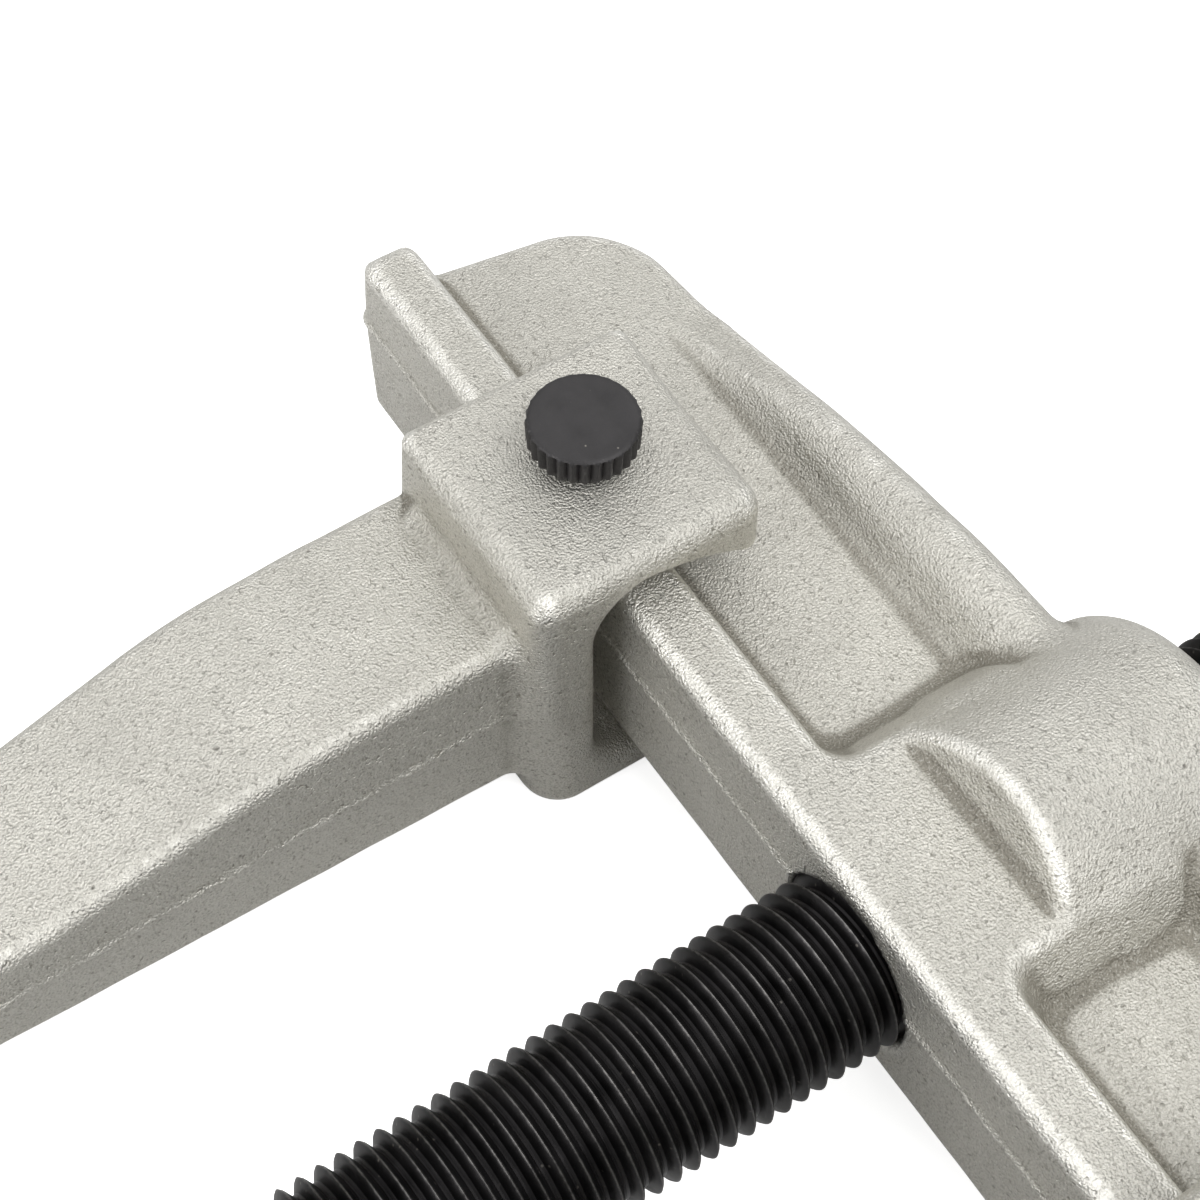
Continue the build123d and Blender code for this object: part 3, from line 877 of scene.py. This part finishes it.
def pale_floor(s):
    """Plain pale floor, bright to the camera. Light that it throws back on the metal is a calm grey."""
    stage = bpy.context.scene.puller_stage
    p = Paint("pale_floor", Roughness=0.9, Specular_IOR_Level=0.1, Emission_Strength=0.7)
    slow = p.node("ShaderNodeTexNoise", Vector=p.position, Scale=6.0, Detail=2.0)
    colour = p.mix(p.fit(slow.outputs["Fac"], 0.3, 0.7), tuple(0.98 * c for c in stage.floor),
                   tuple(stage.floor))
    seen = p.node("ShaderNodeLightPath").outputs["Is Camera Ray"]
    colour = p.mix(seen, (0.58, 0.58, 0.58), colour)
    glow = p.mix(seen, (0.0, 0.0, 0.0), (1.0, 1.0, 1.0))
    return p.finish(Base_Color=colour, Emission_Color=glow)


FINISH_MAKERS = {
    "forged_nickel": forged_nickel,
    "black_oxide": black_oxide,
    "black_screw": black_screw,
    "bright_steel": bright_steel,
    "pale_floor": pale_floor,
}


# ---------------------------------------------------------------- operators

class PULLER_OT_crossbeam(bpy.types.Operator):
    """Build the forged crossbeam with its rails, web and hub"""
    bl_idname = "puller.crossbeam"
    bl_label = "Crossbeam"

    def execute(self, context):
        s = context.scene.puller_beam
        spans = ((-92, 92), (-1.5, 43.5), (-18.5, 18.5))
        beam, = forged(beam_field(s), spans, PARTING, s.step * 1e3, [("forged_crossbeam", 1)])
        finish_piece(beam, "beam", "forged_nickel", "crossbeam")
        return {"FINISHED"}


class PULLER_OT_jaws(bpy.types.Operator):
    """Build the two forged jaws"""
    bl_idname = "puller.jaws"
    bl_label = "Jaws"

    def execute(self, context):
        s = context.scene.puller_jaw
        spans = ((25.2, 65), (-113, 18.5), (-20, 20))
        made = forged(jaw_field(s), spans, 0.0, s.step * 1e3,
                      [("forged_jaw_left", -1), ("forged_jaw_right", 1)])
        for thing, side in zip(made, ("left", "right")):
            finish_piece(thing, "jaw_" + side, "forged_nickel", "jaw_" + side)
        return {"FINISHED"}


class PULLER_OT_spindle(bpy.types.Operator):
    """Build the threaded spindle with its hexagon and nose socket"""
    bl_idname = "puller.spindle"
    bl_label = "Spindle"

    def execute(self, context):
        s = context.scene.puller_spindle
        front, rear = (v.y * 1e3 - FRONT_FACE * 1e3 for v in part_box("spindle"))
        thread_end, r = rear - (HEX_LENGTH + NECK_LENGTH), s.radius * 1e3
        rod = thread("threaded_spindle", r, s.depth * 1e3, s.pitch * 1e3, front, thread_end, s.segments,
                     finish("black_oxide"))
        shell = turned("shell", [(0, front), (r - 1.35, front), (r + 0.05, front + 1.4),
                                 (r + 0.3, front + 1.7), (r + 0.3, thread_end - 1.7),
                                 (r + 0.05, thread_end - 1.4), (r - 1.35, thread_end), (0, thread_end)])
        combine(rod, shell, "INTERSECT")
        start, end = thread_end - 1, thread_end + (NECK_LENGTH + 0.4)
        neck = turned("neck", rounded([(0, start), (NECK_RADIUS, start), (NECK_RADIUS, end), (0, end)],
                                      0.05, 1))
        combine(rod, neck, "UNION")
        combine(rod, self.hexagon(thread_end + NECK_LENGTH, rear), "UNION")
        socket = turned("socket", [(0, front - 1), (5.0, front - 1), (SOCKET_RADIUS, front + 0.4),
                                   (SOCKET_RADIUS, front + SOCKET_DEPTH),
                                   (SEAT_RADIUS, front + SOCKET_DEPTH),
                                   (SEAT_RADIUS, front + SEAT_DEPTH), (0, front + (SEAT_DEPTH + 0.4))])
        combine(rod, socket, "DIFFERENCE")
        rod.data.transform(Matrix.Translation((0, FRONT_FACE, MID_PLANE)) @ Matrix.Scale(0.001, 4))
        finish_piece(rod, "spindle", "black_oxide", "spindle", sharp=34)
        return {"FINISHED"}

    def hexagon(self, front, rear):
        """Drive hexagon with turned-down corners and slightly broken edges."""
        corner = HEX_FLATS / math.sqrt(3)
        bm = bmesh.new()
        ring = [bm.verts.new((corner * math.sin(math.pi / 3 * n), front, corner * math.cos(math.pi / 3 * n)))
                for n in range(6)]
        base = bm.faces.new(ring)
        up = bmesh.ops.extrude_face_region(bm, geom=[base])
        bmesh.ops.translate(bm, vec=(0, rear - front, 0),
                            verts=[v for v in up["geom"] if isinstance(v, bmesh.types.BMVert)])
        bmesh.ops.recalc_face_normals(bm, faces=bm.faces)
        long = [e for e in bm.edges if abs(e.verts[0].co.y - e.verts[1].co.y) > 1]
        bmesh.ops.bevel(bm, geom=long, offset=0.35, segments=3, affect="EDGES")
        mesh = bpy.data.meshes.new("hexagon")
        bm.to_mesh(mesh)
        bm.free()
        outwards(mesh)
        prism = link("hexagon", mesh)
        cone = turned("cone", rounded([(0, front), (9.6, front), (corner + 0.1, front + 0.9),
                                       (corner + 0.1, rear - 1.2), (9.5, rear), (0, rear)], 0.3, 3))
        return combine(prism, cone, "INTERSECT")


class PULLER_OT_centring_tip(bpy.types.Operator):
    """Build the turned centring tip, and finish the ball and ring behind it"""
    bl_idname = "puller.centring_tip"
    bl_label = "Centring tip"

    def execute(self, context):
        low, high = (v.y * 1e3 - FRONT_FACE * 1e3 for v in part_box("centring_tip"))
        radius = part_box("centring_tip")[1].x * 1e3
        cone, collar, ring = low + CONE_LENGTH, low + (CONE_LENGTH + COLLAR_LENGTH), high - RING_BACK
        root = SHANK_RADIUS - RING_GROOVE
        profile = [(0, low), (POINT_RADIUS, low), (radius, cone), (radius, collar), (SHANK_RADIUS, collar),
                   (SHANK_RADIUS, ring - RING_GROOVE), (root, ring - RING_GROOVE),
                   (root, ring + RING_GROOVE), (SHANK_RADIUS, ring + RING_GROOVE), (SHANK_RADIUS, high),
                   (0, high)]
        tip = turned("turned_centring_tip", rounded(profile, 0.35, 4))
        tip.data.transform(Matrix.Translation((0, FRONT_FACE, MID_PLANE)) @ Matrix.Scale(0.001, 4))
        finish_piece(tip, "tip", "bright_steel", "centring_tip", sharp=40)
        for name in ("thrust_ball", "tip_retaining_ring"):
            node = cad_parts[name]
            node.data.materials.clear()
            node.data.materials.append(finish("bright_steel"))
        return {"FINISHED"}


class PULLER_OT_thumb_screws(bpy.types.Operator):
    """Build the two fluted thumb screws"""
    bl_idname = "puller.thumb_screws"
    bl_label = "Thumb screws"

    def execute(self, context):
        s = context.scene.puller_screw
        for side in ("left", "right"):
            low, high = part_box("thumb_screw_" + side)
            middle = (low + high) / 2
            r = s.head_radius * 1e3
            head = turned("fluted_screw_" + side, self.profile(r, SCREW_HEAD), "Z", s.flutes * 12)
            grown(head, group("Fluted head", flute_tree),
                  {"Flutes": s.flutes, "Depth": s.flute_depth * 1e3, "Rim": SCREW_HEAD - 0.5, "Run": 0.32,
                   "Bore": r - 0.9, "Material": finish("black_screw")})
            shank_length = (high.z - low.z) * 1e3 - SCREW_HEAD
            shank = thread("shank", SCREW_THREAD, SCREW_THREAD_DEPTH, s.pitch * 1e3, 0.0,
                           shank_length + 1.0, 48, finish("black_screw"))
            inside = shank_length + 0.5
            shell = turned("shell", [(0, 0), (2.2, 0), (2.97, 0.7), (3.2, 0.9), (3.2, inside), (0, inside)])
            combine(shank, shell, "INTERSECT")
            shank.data.transform(Matrix.Translation((0, 0, -shank_length))
                                 @ Matrix.Rotation(math.radians(90), 4, "X"))
            combine(head, shank, "UNION")
            head.data.transform(Matrix.Translation((middle.x, middle.y, high.z - SCREW_HEAD * 0.001))
                                @ Matrix.Scale(0.001, 4))
            finish_piece(head, "screw_" + side, "black_screw", "thumb_screw_" + side, sharp=38)
        return {"FINISHED"}

    def profile(self, r, height):
        """The head from its underside up to its flat top."""
        side = [(r - 0.12 * (1 - n / 9), 1.15 + (height - 1.75) * n / 9) for n in range(10)]
        lower = [(0, 0), (r - 2.2, 0), (r - 1.5, 0.04), (r - 0.9, 0.34), (r - 0.38, 0.8)]
        upper = [(r - 0.04, height - 0.42), (r - 0.16, height - 0.24), (r - 0.34, height - 0.1),
                 (r - 0.56, height - 0.02), (r - 0.8, height), (r - 1.3, height - 0.02),
                 (r * 0.5, height - 0.05), (0, height - 0.05)]
        return lower + side + upper


class PULLER_OT_stage(bpy.types.Operator):
    """Add the pale floor, the soft lights and the camera"""
    bl_idname = "puller.stage"
    bl_label = "Stage"

    def execute(self, context):
        scene, s = context.scene, context.scene.puller_stage
        mesh = bpy.data.meshes.new("floor")
        size = 4.0
        mesh.from_pydata([(-size, -size, 0), (size, -size, 0), (size, size, 0), (-size, size, 0)], [],
                         [(0, 1, 2, 3)])
        mesh.materials.append(finish("pale_floor"))
        link("floor", mesh)
        self.light("overhead", (-0.32, 0.23, 0.70), (0, 0, 0.02), s.key, (1.2, 1.2))
        self.light("right_side", (0.46, 0.22, 0.72), (0, 0, 0.02), s.fill, (0.7, 0.7))
        self.light("front_side", (-0.12, -0.72, 0.42), (0, 0, 0.02), 0.75 * s.fill, (0.7, 0.5))
        world = bpy.data.worlds.new("room")
        world.use_nodes = True
        back = world.node_tree.nodes["Background"]
        back.inputs["Color"].default_value = (1.0, 1.0, 1.0, 1.0)
        back.inputs["Strength"].default_value = s.sky
        scene.world = world
        scene.view_settings.view_transform = "Standard"
        self.camera(scene)
        return {"FINISHED"}

    def light(self, name, where, at, power, size):
        data = bpy.data.lights.new(name, "AREA")
        data.shape = "RECTANGLE"
        data.size, data.size_y = size
        data.energy = power
        lamp = bpy.data.objects.new(name, data)
        bpy.context.scene.collection.objects.link(lamp)
        lamp.location = where
        lamp.rotation_euler = (Vector(at) - Vector(where)).to_track_quat("-Z", "Y").to_euler()

    def camera(self, scene):
        """Look down on the left jaw's head, from in front and from the right."""
        data = bpy.data.cameras.new("camera")
        data.sensor_width, data.lens = 36.0, 72.0
        data.clip_start, data.clip_end = 0.01, 20.0
        camera = bpy.data.objects.new("camera", data)
        scene.collection.objects.link(camera)
        a, e, roll = (math.radians(v) for v in (54.484, 56.345, 2.370))
        ahead = Vector((-math.sin(a) * math.cos(e), math.cos(a) * math.cos(e), -math.sin(e)))
        right = Vector((math.cos(a), math.sin(a), 0))
        up = right.cross(ahead)
        right, up = (math.cos(roll) * right + math.sin(roll) * up,
                     math.cos(roll) * up - math.sin(roll) * right)
        turn = Matrix((right, up, -ahead)).transposed().to_4x4()
        camera.matrix_world = Matrix.Translation((0.064961, -0.066212, 0.223110)) @ turn
        scene.camera = camera


class PULLER_PT_panel(bpy.types.Panel):
    """Sizes, colours and the steps that build the puller"""
    bl_idname = "PULLER_PT_panel"
    bl_label = "Gear puller"
    bl_space_type = "VIEW_3D"
    bl_region_type = "UI"
    bl_category = "Puller"

    def draw(self, context):
        for step in STEPS:
            self.layout.operator(step.bl_idname)
        for name, kind in SETTINGS.items():
            box = self.layout.box()
            box.label(text=name.replace("puller_", "").capitalize())
            for key in kind.__annotations__:
                box.prop(getattr(context.scene, name), key)


SETTINGS = {
    "puller_beam": PullerBeam,
    "puller_jaw": PullerJaw,
    "puller_spindle": PullerSpindle,
    "puller_screw": PullerScrew,
    "puller_finish": PullerFinish,
    "puller_stage": PullerStage,
}
STEPS = (PULLER_OT_crossbeam, PULLER_OT_jaws, PULLER_OT_spindle, PULLER_OT_centring_tip,
         PULLER_OT_thumb_screws, PULLER_OT_stage)


def register():
    for kind in (*SETTINGS.values(), *STEPS, PULLER_PT_panel):
        bpy.utils.register_class(kind)
    for name, kind in SETTINGS.items():
        setattr(bpy.types.Scene, name, PointerProperty(type=kind))


def unregister():
    for name in SETTINGS:
        delattr(bpy.types.Scene, name)
    for kind in reversed((*SETTINGS.values(), *STEPS, PULLER_PT_panel)):
        bpy.utils.unregister_class(kind)


def main():
    register()
    bpy.ops.puller.crossbeam()
    bpy.ops.puller.jaws()
    bpy.ops.puller.spindle()
    bpy.ops.puller.centring_tip()
    bpy.ops.puller.thumb_screws()
    bpy.ops.puller.stage()


if __name__ == "__main__":
    main()
